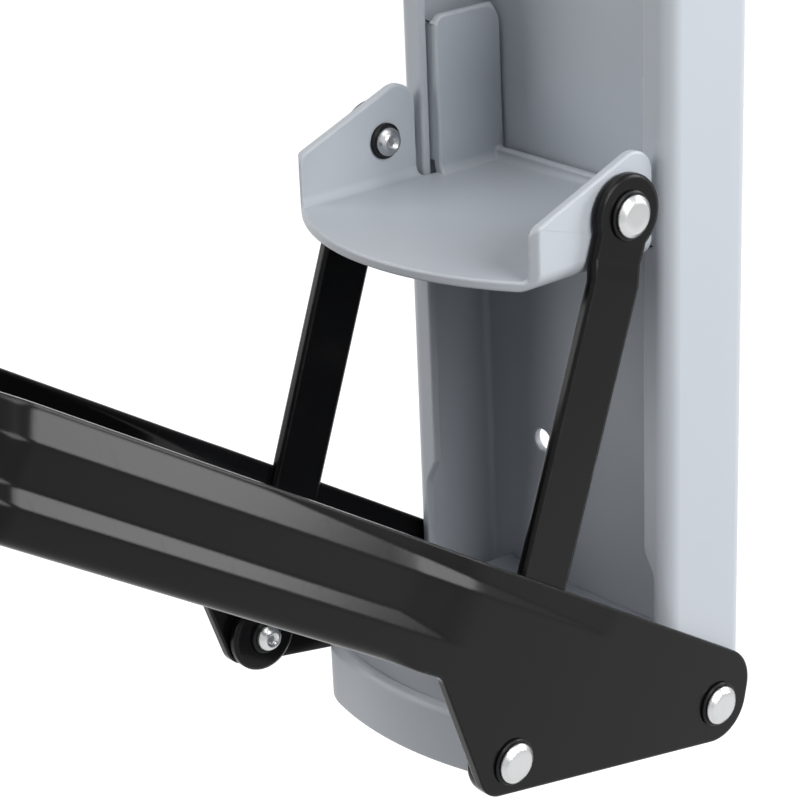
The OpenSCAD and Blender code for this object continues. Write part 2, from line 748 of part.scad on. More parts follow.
// The narrow U-shaped end of the lever, carried on into the grip
module tang_bar(length) {
  translate([0, tang_at, 0]) rotate([90, 0, 0]) mirror([0, 0, 1])
    linear_extrude(length) polygon(trough_section(tang_at));
}

module handle_tang() {
  color(lever_black) on_lever() tang_bar(grip_len - grip_end);
}

// Moulded grip pushed over the tang, with a closed round end
module grip() {
  mid = (top_y(tang_at) + low_y(tang_at)) / 2;
  end_r = grip_d / 2;
  color(rubber_black) on_lever() difference() {
    translate([0, tang_at + 3, mid]) rotate([-90, 0, 0]) rotate_extrude()
      polygon([
        [0, 0], [end_r - 3, 0], [end_r, 3], [end_r, 8], [end_r - 1.5, 11],
        [end_r - 1.5, grip_len - 20], [end_r, grip_len - 14], [end_r, grip_len - 6],
        [end_r - 6, grip_len], [0, grip_len]]);
    tang_bar(grip_len - grip_end);
  }
}

frame_channel();
base_shelf();
shelf_rivets();
main_pin_left();
main_pin_right();
main_nut_left();
main_nut_right();
main_collar_left();
main_collar_right();
ram_plate();
ram_pin_left();
ram_pin_right();
ram_nut_left();
ram_nut_right();
ram_collar_left();
ram_collar_right();
link_left();
link_right();
lever_nut_left();
lever_nut_right();
fork_left();
fork_right();
lever_pin_left();
lever_pin_right();
lever_collar_left();
lever_collar_right();
handle_trough();
handle_tang();
grip();
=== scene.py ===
"""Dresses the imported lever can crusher: pressed sheet, painted lever, plated pivots and grip."""
import json
import logging
import math
from dataclasses import dataclass
from enum import Enum
from typing import Callable, Sequence

import bmesh
import bpy
from mathutils import Matrix, Vector

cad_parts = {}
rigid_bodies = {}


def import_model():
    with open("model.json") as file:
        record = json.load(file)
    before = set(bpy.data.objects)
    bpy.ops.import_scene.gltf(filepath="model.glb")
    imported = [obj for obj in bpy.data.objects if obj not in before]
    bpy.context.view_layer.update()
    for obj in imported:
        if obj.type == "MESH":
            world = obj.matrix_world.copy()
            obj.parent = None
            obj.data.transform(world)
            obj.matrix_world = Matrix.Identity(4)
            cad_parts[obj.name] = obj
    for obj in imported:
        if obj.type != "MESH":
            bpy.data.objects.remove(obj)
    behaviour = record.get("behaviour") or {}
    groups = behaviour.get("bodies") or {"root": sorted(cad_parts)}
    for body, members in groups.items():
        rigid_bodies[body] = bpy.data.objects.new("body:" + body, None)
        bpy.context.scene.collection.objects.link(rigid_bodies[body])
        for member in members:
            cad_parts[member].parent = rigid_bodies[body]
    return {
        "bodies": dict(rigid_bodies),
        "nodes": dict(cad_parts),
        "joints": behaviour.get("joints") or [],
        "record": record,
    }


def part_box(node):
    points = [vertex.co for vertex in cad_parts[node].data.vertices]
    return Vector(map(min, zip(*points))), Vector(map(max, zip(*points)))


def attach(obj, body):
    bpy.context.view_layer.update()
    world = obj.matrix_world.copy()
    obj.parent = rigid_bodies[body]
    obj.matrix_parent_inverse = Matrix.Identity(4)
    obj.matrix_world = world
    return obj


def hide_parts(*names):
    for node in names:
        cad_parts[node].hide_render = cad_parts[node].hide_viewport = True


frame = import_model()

log = logging.getLogger("crusher")

MM = 0.001
SHEET_MERGE = 1e-6      # points of a bent sheet this close, in metres, become one
CAD_MERGE = 2e-6        # the same for a copy of a CAD node
FLAT_ANGLE = 0.6        # faces that meet at less than this, in degrees, become one
FACE_WEIGHT = 100       # how strongly a large face keeps its own shading beside a round
WHITE = (1, 1, 1, 1)


def clamp(s: float) -> float:
    """Limits s to the range from 0 to 1."""
    return min(max(s, 0.0), 1.0)


def ease(s: float) -> float:
    """Smooth rise from 0 to 1 as s goes from 0 to 1."""
    s = clamp(s)
    return s * s * (3.0 - 2.0 * s)


def both(name: str) -> tuple[str, str]:
    """Names of the left and the right CAD node of a pair."""
    return f"{name}_left", f"{name}_right"


class Side(Enum):
    """The two sides of the mirrored mechanism."""

    LEFT = -1
    RIGHT = 1


# Places -------------------------------------------------------------------------------------


@dataclass(frozen=True)
class Layout:
    """Places and sizes that the sub-assemblies share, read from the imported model, in metres."""

    main_pivot: Vector
    ram_pivot: Vector
    link_pivot: Vector
    wall_out: float
    plate_out: float
    eye_in: float
    lever_angle: float = math.radians(32.0)

    @classmethod
    def from_frame(cls, packed: dict) -> "Layout":
        """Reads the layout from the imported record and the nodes' boxes.


        Returns:
            The layout of this model.
        """
        joints = {j["name"]: j for j in packed["record"]["behaviour"]["joints"]}
        collar_low, collar_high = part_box("lever_collar_right")
        return cls(
            main_pivot=Vector(joints["lever_swing"]["pos_m"]),
            ram_pivot=Vector(joints["left_link_swing"]["pos_m"]),
            link_pivot=Vector((0.0, *((collar_low + collar_high) / 2.0)[1:])),
            wall_out=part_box("frame_channel")[1].x,
            plate_out=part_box("fork_right")[1].x,
            eye_in=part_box("link_right")[0].x,
        )

    def on_lever(self, x: float, v: float, w: float) -> Vector:
        """Maps a lever point to the row frame.

        Args:
            x: Distance across, in millimetres.
            v: Distance from the main pivot along the handle, in millimetres.
            w: Distance square to the handle, in millimetres.

        Returns:
            The point in the row frame, in metres.
        """
        c, s = math.cos(self.lever_angle), math.sin(self.lever_angle)
        shift = Vector((x, w * s - v * c, w * c + v * s)) * MM
        return Vector((0.0, self.main_pivot.y, self.main_pivot.z)) + shift


# Node groups ----------------------------------------------------------------------------------


class NodeGroup:
    """A node group under construction, with short calls for its sockets, nodes and wires."""

    def __init__(self, name: str, tree_type: str = "ShaderNodeTree") -> None:
        """Starts an empty group.

        Args:
            name: Name of the group.
            tree_type: Blender's type of the group's tree.
        """
        self.tree = bpy.data.node_groups.new(name, tree_type)
        self.enter = self.tree.nodes.new("NodeGroupInput")
        self.leave = self.tree.nodes.new("NodeGroupOutput")

    def take(self, name: str, kind: str, default: float | None = None) -> bpy.types.NodeSocket:
        """Adds an input socket.

        Args:
            name: Name of the socket.
            kind: Blender's type of the socket.
            default: Its value when nothing is wired to it.

        Returns:
            The wire end inside the group.
        """
        socket = self.tree.interface.new_socket(name, in_out="INPUT", socket_type=kind)
        if default is not None:
            socket.default_value = default
        return self.enter.outputs[name]

    def give(self, name: str, kind: str, wire: bpy.types.NodeSocket) -> None:
        """Adds an output socket fed by a wire."""
        self.tree.interface.new_socket(name, in_out="OUTPUT", socket_type=kind)
        self.tree.links.new(wire, self.leave.inputs[name])

    def add(self, kind: str, wires: dict | None = None, **settings: str | int) -> bpy.types.Node:
        """Adds a node.

        Args:
            kind: Blender's node type.
            wires: Input name or index to a wire or a value.
            settings: Attributes of the node.

        Returns:
            The new node.
        """
        node = self.tree.nodes.new(kind)
        for key, value in settings.items():
            setattr(node, key, value)
        for key, value in (wires or {}).items():
            if isinstance(value, bpy.types.NodeSocket):
                self.tree.links.new(value, node.inputs[key])
            else:
                node.inputs[key].default_value = value
        return node

    def math(self, operation: str, *values: float | bpy.types.NodeSocket) -> bpy.types.NodeSocket:
        """Adds a Math node on up to three values or wires and returns its output."""
        node = self.add("ShaderNodeMath", dict(enumerate(values)), operation=operation)
        return node.outputs[0]


def edge_wear_and_highlight_group() -> bpy.types.NodeTree:
    """Builds the group that marks the outer edges of a painted sheet, for edge wear and a painted
    edge highlight.

    Returns:
        The shader group, with outputs Mask and Normal.
    """
    gain, knee = 9.0, 0.2
    group = NodeGroup("edge_wear")
    radius = group.take("Radius", "NodeSocketFloat", 0.0008)
    amount = group.take("Amount", "NodeSocketFloat", 0.5)
    scale = group.take("Scale", "NodeSocketFloat", 400.0)
    place = group.add("ShaderNodeTexCoord").outputs["Object"]
    flat = group.add("ShaderNodeNewGeometry").outputs["Normal"]
    bevel = group.add("ShaderNodeBevel", {"Radius": radius}, samples=4).outputs["Normal"]
    cosine = group.add("ShaderNodeVectorMath", {0: flat, 1: bevel}, operation="DOT_PRODUCT")
    edge = group.math("SUBTRACT", 1.0, cosine.outputs["Value"])
    noise = group.add("ShaderNodeTexNoise", {"Vector": place, "Scale": scale, "Detail": 3.0})
    patch = group.math("MULTIPLY", edge, noise.outputs["Fac"])
    # the mask lightens the rounded edges: partly edge wear, partly a painted highlight line
    ramp = group.math("SMOOTH_MIN", group.math("MULTIPLY", patch, gain), 1.0, knee)
    group.give("Mask", "NodeSocketFloat", group.math("MULTIPLY", ramp, amount))
    group.give("Normal", "NodeSocketVector", bevel)
    return group.tree


def coat_texture_group() -> bpy.types.NodeTree:
    """Builds the group for the orange-peel skin, the uneven tone and the handling marks of paint.

    Returns:
        The shader group, with outputs Height, Tone and Rough.
    """
    long_marks, mark_level = (60.0, 700.0, 60.0), 0.66
    group = NodeGroup("coat_texture")
    peel = group.take("Peel scale", "NodeSocketFloat", 900.0)
    cloud = group.take("Cloud scale", "NodeSocketFloat", 18.0)
    marks = group.take("Marks", "NodeSocketFloat", 0.3)
    place = group.add("ShaderNodeTexCoord").outputs["Object"]
    skin = group.add("ShaderNodeTexNoise", {"Vector": place, "Scale": peel, "Detail": 2.0})
    soft = group.add("ShaderNodeTexNoise", {"Vector": place, "Scale": cloud, "Detail": 4.0})
    stretch = group.add("ShaderNodeMapping", {"Vector": place, "Scale": long_marks})
    lines = group.add("ShaderNodeTexNoise", {"Vector": stretch.outputs[0], "Scale": 1.0,
                                             "Detail": 2.0})
    rub = group.math("GREATER_THAN", lines.outputs["Fac"], mark_level)
    smear = group.math("MULTIPLY", group.math("MULTIPLY", rub, soft.outputs["Fac"]), marks)
    group.give("Height", "NodeSocketFloat", skin.outputs["Fac"])
    group.give("Tone", "NodeSocketFloat", soft.outputs["Fac"])
    group.give("Rough", "NodeSocketFloat", smear)
    return group.tree


# Finishes -------------------------------------------------------------------------------------


@dataclass(frozen=True)
class Finish:
    """One surface finish: a paint, a plating or a moulded rubber."""

    name: str
    slot: str
    colour: tuple[float, float, float]
    roughness: float
    metallic: float = 0.0
    specular: float = 0.5
    peel_scale: float = 900.0
    peel_depth: float = 0.00004
    tone: float = 0.06
    # these two lighten the edges: partly edge wear, partly a painted highlight along them
    wear_and_highlight: float = 0.35
    wear_and_highlight_colour: tuple[float, float, float] = (0.8, 0.8, 0.8)
    marks: float = 0.3
    mark_roughness: float = 0.5

    def build(self) -> bpy.types.Material:
        """Makes the material with its edge wear and painted edge highlight, skin and handling
        marks.

        Returns:
            The new material.
        """
        material = bpy.data.materials.new(self.name)
        material.use_nodes = True
        tree = material.node_tree
        shader = tree.nodes["Principled BSDF"]
        wear_and_highlight = self._place(tree, "edge_wear", {"Amount": self.wear_and_highlight})
        coat = self._place(tree, "coat_texture", {"Peel scale": self.peel_scale,
                                                  "Marks": self.marks})
        tone = tree.nodes.new("ShaderNodeMix")
        tone.data_type = "RGBA"
        tree.links.new(coat.outputs["Tone"], tone.inputs["Factor"])
        tone.inputs["A"].default_value = (*[c * (1 - self.tone) for c in self.colour], 1)
        tone.inputs["B"].default_value = (*[min(c * (1 + self.tone), 1) for c in self.colour], 1)
        # edges mixed toward a lighter colour: edge wear and a painted highlight line
        worn_and_highlit = tree.nodes.new("ShaderNodeMix")
        worn_and_highlit.data_type = "RGBA"
        tree.links.new(wear_and_highlight.outputs["Mask"], worn_and_highlit.inputs["Factor"])
        tree.links.new(tone.outputs["Result"], worn_and_highlit.inputs["A"])
        worn_and_highlit.inputs["B"].default_value = (*self.wear_and_highlight_colour, 1)
        tree.links.new(worn_and_highlit.outputs["Result"], shader.inputs["Base Color"])
        rough = tree.nodes.new("ShaderNodeMath")
        rough.operation = "MULTIPLY_ADD"
        tree.links.new(coat.outputs["Rough"], rough.inputs[0])
        rough.inputs[1].default_value = self.mark_roughness
        rough.inputs[2].default_value = self.roughness
        tree.links.new(rough.outputs[0], shader.inputs["Roughness"])
        bump = tree.nodes.new("ShaderNodeBump")
        bump.inputs["Distance"].default_value = self.peel_depth
        bump.inputs["Strength"].default_value = 1.0
        tree.links.new(coat.outputs["Height"], bump.inputs["Height"])
        tree.links.new(wear_and_highlight.outputs["Normal"], bump.inputs["Normal"])
        tree.links.new(bump.outputs["Normal"], shader.inputs["Normal"])
        shader.inputs["Metallic"].default_value = self.metallic
        shader.inputs["Specular IOR Level"].default_value = self.specular
        return material

    @staticmethod
    def _place(tree: bpy.types.NodeTree, group: str, values: dict[str, float]) -> bpy.types.Node:
        """Places a shader group in a material and sets its inputs.

        Args:
            tree: The material's node tree.
            group: Name of the shader group.
            values: Input name to value.

        Returns:
            The group node.
        """
        node = tree.nodes.new("ShaderNodeGroup")
        node.node_tree = bpy.data.node_groups[group]
        for key, value in values.items():
            node.inputs[key].default_value = value
        return node


class Paint(Enum):
    """The finishes of the crusher."""

    # the wear settings lighten each finish's edges, partly as edge wear and partly as a painted
    # highlight line; on the zinc nearly white
    GREY = Finish("grey_powder_coat", "frame_paint", (0.45, 0.48, 0.52), 0.38, specular=0.35,
                  peel_scale=1400.0, peel_depth=0.00002, tone=0.02, wear_and_highlight=0.75,
                  wear_and_highlight_colour=(0.82, 0.84, 0.87), marks=0.1)
    BLACK = Finish("black_gloss_paint", "black_paint", (0.0045, 0.0045, 0.005), 0.18,
                   specular=0.13, peel_scale=700.0, peel_depth=0.00001, tone=0.15, wear_and_highlight=0.25,
                   wear_and_highlight_colour=(0.3, 0.3, 0.31), marks=0.2)
    ZINC = Finish("bright_zinc", "zinc", (0.50, 0.505, 0.51), 0.26, metallic=1.0,
                  peel_scale=500.0, peel_depth=0.00003, tone=0.08, wear_and_highlight=0.8,
                  wear_and_highlight_colour=(0.93, 0.93, 0.93), marks=0.4)
    RUBBER = Finish("moulded_rubber", "grip_rubber", (0.018, 0.018, 0.019), 0.62,
                    peel_scale=2500.0, peel_depth=0.00005, tone=0.12, wear_and_highlight=0.15,
                    wear_and_highlight_colour=(0.08, 0.08, 0.08), marks=0.3)

    @property
    def material(self) -> bpy.types.Material:
        """The finish's material, built on first use."""
        return bpy.data.materials.get(self.value.name) or self.value.build()


# Mesh helpers ---------------------------------------------------------------------------------


def new_piece(name: str, paint: Paint, body: str, mesh: bpy.types.Mesh,
              sharp: float = 35.0) -> bpy.types.Object:
    """Links a finished mesh as a piece of the crusher.

    Args:
        name: Name of the piece.
        paint: Its finish.
        body: CAD body that carries it.
        mesh: Its mesh, in the row frame.
        sharp: Angle in degrees above which an edge is shaded sharp.

    Returns:
        The new object.
    """
    piece = bpy.data.objects.new(name, mesh)
    bpy.context.scene.collection.objects.link(piece)
    mesh.materials.clear()
    mesh.materials.append(paint.material)
    mesh.shade_smooth()
    mesh.set_sharp_from_angle(angle=math.radians(sharp))
    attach(piece, body)
    log.info("%s: %d faces on %s", name, len(mesh.polygons), body)
    return piece


def round_edges(piece: bpy.types.Object, width: float, segments: int = 2,
                angle: float = 50.0) -> None:
    """Rounds the sharp edges of a piece.

    Args:
        piece: The object.
        width: Width of the round in millimetres.
        segments: Faces over the round.
        angle: Angle in degrees above which an edge is rounded.
    """
    bevel = piece.modifiers.new("edge_round", "BEVEL")
    bevel.width = width * MM
    bevel.segments = segments
    bevel.limit_method = "ANGLE"
    bevel.angle_limit = math.radians(angle)
    bevel.use_clamp_overlap = False
    bevel.harden_normals = False
    weighted = piece.modifiers.new("flat_faces", "WEIGHTED_NORMAL")
    weighted.keep_sharp = True
    weighted.weight = FACE_WEIGHT


def refined(node: str, name: str, paint: Paint, body: str, width: float,
            reshape: Callable[[Vector], Vector] | None = None) -> bpy.types.Object:
    """Replaces a CAD node by a merged copy with rounded edges.

    Args:
        node: Name of the CAD node.
        name: Name of the new piece.
        paint: Its finish.
        body: CAD body that carries it.
        width: Width of the edge round in millimetres.
        reshape: Moves the points of the copy, or None to keep them.

    Returns:
        The new piece.
    """
    work = bmesh.new()
    work.from_mesh(frame["nodes"][node].data)
    bmesh.ops.remove_doubles(work, verts=work.verts, dist=CAD_MERGE)
    bmesh.ops.dissolve_limit(work, angle_limit=math.radians(FLAT_ANGLE), verts=work.verts,
                             edges=work.edges)
    for vert in work.verts if reshape else ():
        vert.co = reshape(vert.co)
    mesh = bpy.data.meshes.new(name)
    work.to_mesh(mesh)
    work.free()
    piece = new_piece(name, paint, body, mesh)
    round_edges(piece, width)
    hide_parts(node)
    return piece


def rounded(corners: Sequence[Sequence[float]], radii: Sequence[float],
            step: float) -> list[Vector]:
    """Rounds the corners of a closed outline.

    Args:
        corners: Corners as (x, y), in order.
        radii: Radius of each corner, 0 for a sharp one.
        step: Largest turn between two points of a round, in degrees.

    Returns:
        The points of the outline.
    """
    points: list[Vector] = []
    count = len(corners)
    for i, radius in enumerate(radii):
        before, corner, after = (Vector(corners[(i + k) % count]) for k in (-1, 0, 1))
        if radius == 0:
            points.append(corner)
            continue
        back, ahead = (before - corner).normalized(), (after - corner).normalized()
        half = math.acos(back.dot(ahead)) / 2
        centre = corner + (back + ahead).normalized() * (radius / math.sin(half))
        start = corner + back * (radius / math.tan(half)) - centre
        turn = math.pi - 2 * half
        if start.x * ahead.y - start.y * ahead.x < 0:
            turn = -turn
        steps = max(2, math.ceil(math.degrees(abs(turn)) / step))
        for k in range(steps + 1):
            spin = turn * k / steps
            c, s = math.cos(spin), math.sin(spin)
            points.append(centre + Vector((start.x * c - start.y * s, start.x * s + start.y * c)))
    return points


def turned(name: str, profile: Sequence[tuple[float, float]], steps: int) -> bpy.types.Mesh:
    """Turns a profile about the X axis.

    Args:
        name: Name of the mesh.
        profile: Points as (x, radius) in millimetres, from the axis back to the axis.
        steps: Faces round the axis.

    Returns:
        The closed mesh.
    """
    work = bmesh.new()
    rings = []
    for x, radius in profile:
        if radius == 0:
            rings.append([work.verts.new((x * MM, 0, 0))])
            continue
        angles = (2 * math.pi * k / steps for k in range(steps))
        rings.append([work.verts.new((x * MM, radius * math.cos(a) * MM, radius * math.sin(a) * MM))
                      for a in angles])
    for low, high in zip(rings, rings[1:]):
        for k in range(steps):
            n = (k + 1) % steps
            corners = [low[k % len(low)], low[n % len(low)], high[n % len(high)],
                       high[k % len(high)]]
            work.faces.new(list(dict.fromkeys(corners)))
    bmesh.ops.recalc_face_normals(work, faces=work.faces)
    mesh = bpy.data.meshes.new(name)
    work.to_mesh(mesh)
    work.free()
    return mesh


class Sheet:
    """A bent sheet built from matching points on its outer and inner face."""

    def __init__(self) -> None:
        """Starts an empty sheet."""
        self.outer: list[Vector] = []
        self.inner: list[Vector] = []
        self.faces: list[tuple[int, ...]] = []

    def point(self, outer: Vector, inner: Vector) -> int:
        """Adds a matching pair of points.

        Args:
            outer: The point on the outer face, in metres.
            inner: The point behind it on the inner face.

        Returns:
            The number of the pair.
        """
        self.outer.append(outer)
        self.inner.append(inner)
        return len(self.outer) - 1

    def strip(self, first: Sequence[int], second: Sequence[int]) -> None:
        """Joins two rows of points with four-sided faces.

        Args:
            first: Numbers of the points of one row.
            second: Numbers of the points of the next row, as many.
        """
        for i in range(len(first) - 1):
            corners = (first[i], second[i], second[i + 1], first[i + 1])
            self.faces.append(tuple(dict.fromkeys(corners)))

    def mesh(self, name: str) -> bpy.types.Mesh:
        """Closes the sheet with its edges and returns it as a mesh.

        Args:
            name: Name of the mesh.

        Returns:
            The closed mesh, normals outwards.
        """
        work = bmesh.new()
        outer = [work.verts.new(p) for p in self.outer]
        inner = [work.verts.new(p) for p in self.inner]
        edges: dict[tuple[int, int], None] = {}
        for face in self.faces:
            edges.update(dict.fromkeys(zip(face, face[1:] + face[:1])))
            work.faces.new([outer[i] for i in face])
            work.faces.new([inner[i] for i in reversed(face)])
        for a, b in edges:
            if (b, a) not in edges:
                work.faces.new([outer[b], outer[a], inner[a], inner[b]])
        bmesh.ops.remove_doubles(work, verts=work.verts, dist=SHEET_MERGE)
        bmesh.ops.recalc_face_normals(work, faces=work.faces)
        mesh = bpy.data.meshes.new(name)
        work.to_mesh(mesh)
        work.free()
        return mesh


# Studio ---------------------------------------------------------------------------------------


@dataclass(frozen=True)
class Lamp:
    """A square soft lamp: its centre in metres, its power in watts and its side in metres."""

    name: str
    place: tuple[float, float, float]
    power: float
    side: float

    def hang(self, target: Sequence[float]) -> None:
        """Adds the lamp to the scene.

        Args:
            target: The point that it faces.
        """
        data = bpy.data.lights.new(self.name, "AREA")
        data.energy = self.power
        data.size = self.side
        lamp = bpy.data.objects.new(self.name, data)
        bpy.context.scene.collection.objects.link(lamp)
        lamp.location = self.place
        ahead = Vector(target) - Vector(self.place)
        lamp.rotation_euler = ahead.to_track_quat("-Z", "Y").to_euler()


@dataclass
class Studio:
    """Camera, lamps, floor and background."""

    azimuth: float = 47.584
    elevation: float = 25.827
    roll: float = -1.231
    place: tuple[float, float, float] = (0.49853, -0.48698, 0.21998)
    focal_px: float = 2794.5
    centre_px: tuple[float, float] = (529.1, 604.8)
    image_px: float = 800.0
    sensor: float = 36.0
    near: float = 0.01
    aim: tuple[float, float, float] = (0.0, -0.06, 0.0)
    lamps: tuple[Lamp, ...] = (
        Lamp("rim", (0.58, 0.85, 0.36), 8.0, 0.5),
        Lamp("side", (1.3, -0.02, 0.6), 17.5, 0.8),
        Lamp("front", (-0.95, -1.15, 0.55), 13.0, 1.0),
        Lamp("top", (0.1, -0.3, 1.4), 6.0, 1.0),
    )
    world_light: float = 0.16
    world_seen: float = 1.0
    floor_z: float = -0.45
    floor_half: float = 6.0
    floor_tone: float = 0.32
    floor_roughness: float = 0.9
    floor_seen: float = 0.92

    def camera(self) -> None:
        """Places the camera at the photograph's viewing angle."""
        data = bpy.data.cameras.new("camera")
        data.sensor_width = self.sensor
        data.lens = self.focal_px * self.sensor / self.image_px
        data.shift_x = (self.image_px / 2 - self.centre_px[0]) / self.image_px
        data.shift_y = (self.centre_px[1] - self.image_px / 2) / self.image_px
        data.clip_start = self.near
        camera = bpy.data.objects.new("camera", data)
        bpy.context.scene.collection.objects.link(camera)
        az, el, roll = (math.radians(a) for a in (self.azimuth, self.elevation, self.roll))
        ahead = Vector((-math.sin(az) * math.cos(el), math.cos(az) * math.cos(el), -math.sin(el)))
        right = ahead.cross(Vector((0, 0, 1))).normalized()
        up = right.cross(ahead)
        rolled_right = right * math.cos(roll) + up * math.sin(roll)
        rolled_up = up * math.cos(roll) - right * math.sin(roll)
        camera.matrix_world = Matrix.Translation(self.place) @ Matrix(
            (rolled_right, rolled_up, -ahead)).transposed().to_4x4()
        bpy.context.scene.camera = camera

    def world(self) -> None:
        """Makes the world white for the camera and a soft even light for the crusher."""
        world = bpy.data.worlds.new("studio")
        bpy.context.scene.world = world
        world.use_nodes = True
        shader = world.node_tree.nodes["Background"]
        shader.inputs["Color"].default_value = WHITE
        self._seen(world.node_tree, shader.inputs["Strength"], self.world_light, self.world_seen)

    def floor(self) -> None:
        """Lays the floor, which the camera sees as white."""
        mesh = bpy.data.meshes.new("floor")
        size = self.floor_half
        mesh.from_pydata([(x * size, y * size, self.floor_z) for x, y in
                          ((-1, -1), (1, -1), (1, 1), (-1, 1))], [], [(0, 1, 2, 3)])
        floor = bpy.data.objects.new("floor", mesh)
        bpy.context.scene.collection.objects.link(floor)
        material = bpy.data.materials.new("pale_floor")
        material.use_nodes = True
        shader = material.node_tree.nodes["Principled BSDF"]
        shader.inputs["Base Color"].default_value = (*[self.floor_tone] * 3, 1)
        shader.inputs["Roughness"].default_value = self.floor_roughness
        shader.inputs["Emission Color"].default_value = WHITE
        self._seen(material.node_tree, shader.inputs["Emission Strength"], 0.0, self.floor_seen)
        mesh.materials.append(material)

    @staticmethod
    def _seen(tree: bpy.types.NodeTree, socket: bpy.types.NodeSocket, unseen: float,
              seen: float) -> None:
        """Feeds a strength that differs for what the camera sees, directly, in a gloss or glass.

        Args:
            tree: The node tree.
            socket: The strength socket.
            unseen: Strength for plain light.
            seen: Strength for the camera, for reflections and through glass.
        """
        path = tree.nodes.new("ShaderNodeLightPath")
        wire = path.outputs["Is Camera Ray"]
        for ray in ("Is Glossy Ray", "Is Transmission Ray"):
            either = tree.nodes.new("ShaderNodeMath")
            either.operation = "MAXIMUM"
            tree.links.new(wire, either.inputs[0])
            tree.links.new(path.outputs[ray], either.inputs[1])
            wire = either.outputs[0]
        mix = tree.nodes.new("ShaderNodeMapRange")
        tree.links.new(wire, mix.inputs["Value"])
        mix.inputs["To Min"].default_value = unseen
        mix.inputs["To Max"].default_value = seen
        tree.links.new(mix.outputs["Result"], socket)

    def build(self) -> None:
        """Builds the whole studio."""
        self.camera()
        for lamp in self.lamps:
            lamp.hang(self.aim)
        self.world()
        self.floor()
        bpy.context.scene.view_settings.view_transform = "Standard"


# Lever ----------------------------------------------------------------------------------------


@dataclass
class Lever:
    """The forked lever, pressed from one sheet: two fork plates, a trough and a tang.

    Lengths are in millimetres: v runs along the handle, w square to it, d down from the top edge.
    The upper band leans in along the top edge, and the lower ledge steps the wall in below it.
    """

    layout: Layout
    thickness: float = 3.0
    edge: float = 0.45
    boss_r: float = 11.0
    heel_r: float = 11.0
    toe_r: float = 7.0
    throat_r: float = 5.0
    boss_turn: float = math.radians(160.0)
    outline_step: float = 6.0
    top: float = 14.6
    depth: float = 29.2
    throat: float = 102.0
    web_start: float = 108.0
    taper_start: float = 236.0
    taper_end: float = 286.0
    taper_steps: int = 14
    sheet_end: float = 292.0
    tang_half: float = 10.0
    tang_depth: float = 18.0
    toe: tuple[float, float] = (71.1, -39.9)
    upper_line: float = 7.3
    upper_least: float = 0.4
    upper_end: float = 0.7
    upper_start: float = 50.0
    upper_run: float = 120.0
    upper_slope: float = 4.0 / 7.0
    lower_line: float = 20.6
    lower_least: float = 0.3
    lower_band: float = 3.9
    lower_start: float = 102.0
    lower_lead: float = 2.0
    lower_run: float = 20.0
    lower_slope: float = 2.5 / 3.9
    fade: float = 8.0
    taper_soften: float = 0.7
    crease_soften: float = 0.4
    crease_inside: float = 0.5
    crease_outside: float = 0.6
    bend_r: float = 3.5
    bend_least: float = 0.3
    bend_run: float = 14.0
    bend_steps: int = 6
    web_shares: tuple[float, ...] = (0.8, 0.55, 0.28, 0.0)
    marks: tuple[float, ...] = (50.0, 54.0, 58.0, 66.0, 76.0, 88.0, 98.0, 102.0, 106.0, 108.0,
                                111.0, 114.0, 118.0, 122.0, 130.0, 142.0, 156.0, 168.0, 172.0,
                                190.0, 214.0)

    def narrow(self, v: float) -> float:
        """How far the lever has narrowed at v, from 0 to 1."""
        return ease((v - self.taper_start) / (self.taper_end - self.taper_start))

    def half(self, v: float) -> float:
        """Outer half width of the lever at v."""
        full = self.layout.plate_out / MM
        return full + (self.tang_half - full) * self.narrow(v)

    def scale(self, v: float) -> float:
        """Depth of the wall at v as a share of the full depth."""
        return 1.0 + (self.tang_depth / self.depth - 1.0) * self.narrow(v)

    def height(self, v: float, d: float) -> float:
        """Height w of a wall point at v, d below the top edge in the full wall."""
        middle = self.top - self.depth / 2
        return middle + (self.depth / 2 - d) * self.scale(v)

    def upper_edge(self, v: float) -> float:
        """Upper boundary of the leaning upper band at v."""
        start = self.upper_line - self.upper_least
        return start + (self.upper_end - start) * clamp((v - self.upper_start) / self.upper_run)

    def lower_edge(self, v: float) -> float:
        """Upper boundary of the lower ledge at v."""
        run = clamp((v - self.lower_start) / self.lower_run)
        return self.lower_line - self.lower_least - (self.lower_band - self.lower_least) * run

    def inset(self, v: float, d: float) -> float:
        """Works out how far the wall stands in from its outer plane.

        Args:
            v: Place along the handle.
            d: Distance below the top edge.

        Returns:
            The inset.
        """
        upper = min(max(self.upper_line - d, 0.0), self.upper_line - self.upper_edge(v))
        upper *= self.upper_slope * clamp((v - self.upper_start) / self.fade)
        lower = min(max(self.lower_line - d, 0.0), self.lower_line - self.lower_edge(v))
        lower *= self.lower_slope * clamp((v - self.lower_start + self.lower_lead) / self.fade)
        return (upper + lower) * (1.0 - self.taper_soften * self.narrow(v))

    def rows(self, v: float) -> list[float]:
        """Places the points down the wall, with close ones on both sides of each crease.

        Args:
            v: Place along the handle.

        Returns:
            Distances of the points below the top edge.
        """
        a, b = self.upper_edge(v), self.lower_edge(v)
        up, low = self.upper_line, self.lower_line
        inside, outside = self.crease_inside, self.crease_outside
        e, f = min(inside, 0.45 * (up - a)), min(inside, 0.45 * (low - b))
        return [0.0, a / 2, a - min(inside, 0.3 * a), a, a + e, up - e, up, up + outside,
                (up + b) / 2, b - outside, b, b + f, low - f, low, low + outside]

    def wall_point(self, sheet: Sheet, v: float, d: float, side: Side) -> int:
        """Adds a wall point, its inset smoothed over the creases.

        Args:
            sheet: The sheet under construction.
            v: Place along the handle.
            d: Distance below the top edge.
            side: Side of the lever.

        Returns:
            The number of the point.
        """
        around = (-self.crease_soften, 0.0, self.crease_soften)
        inset = sum(self.inset(v, d + k) for k in around) / len(around)
        return self.pair(sheet, v, self.half(v) - inset, self.height(v, d), side)

    def pair(self, sheet: Sheet, v: float, x: float, w: float, side: Side) -> int:
        """Adds a point of the upright wall with its inner point behind it."""
        place = self.layout.on_lever
        return sheet.point(place(side.value * x, v, w),
                           place(side.value * (x - self.thickness), v, w))

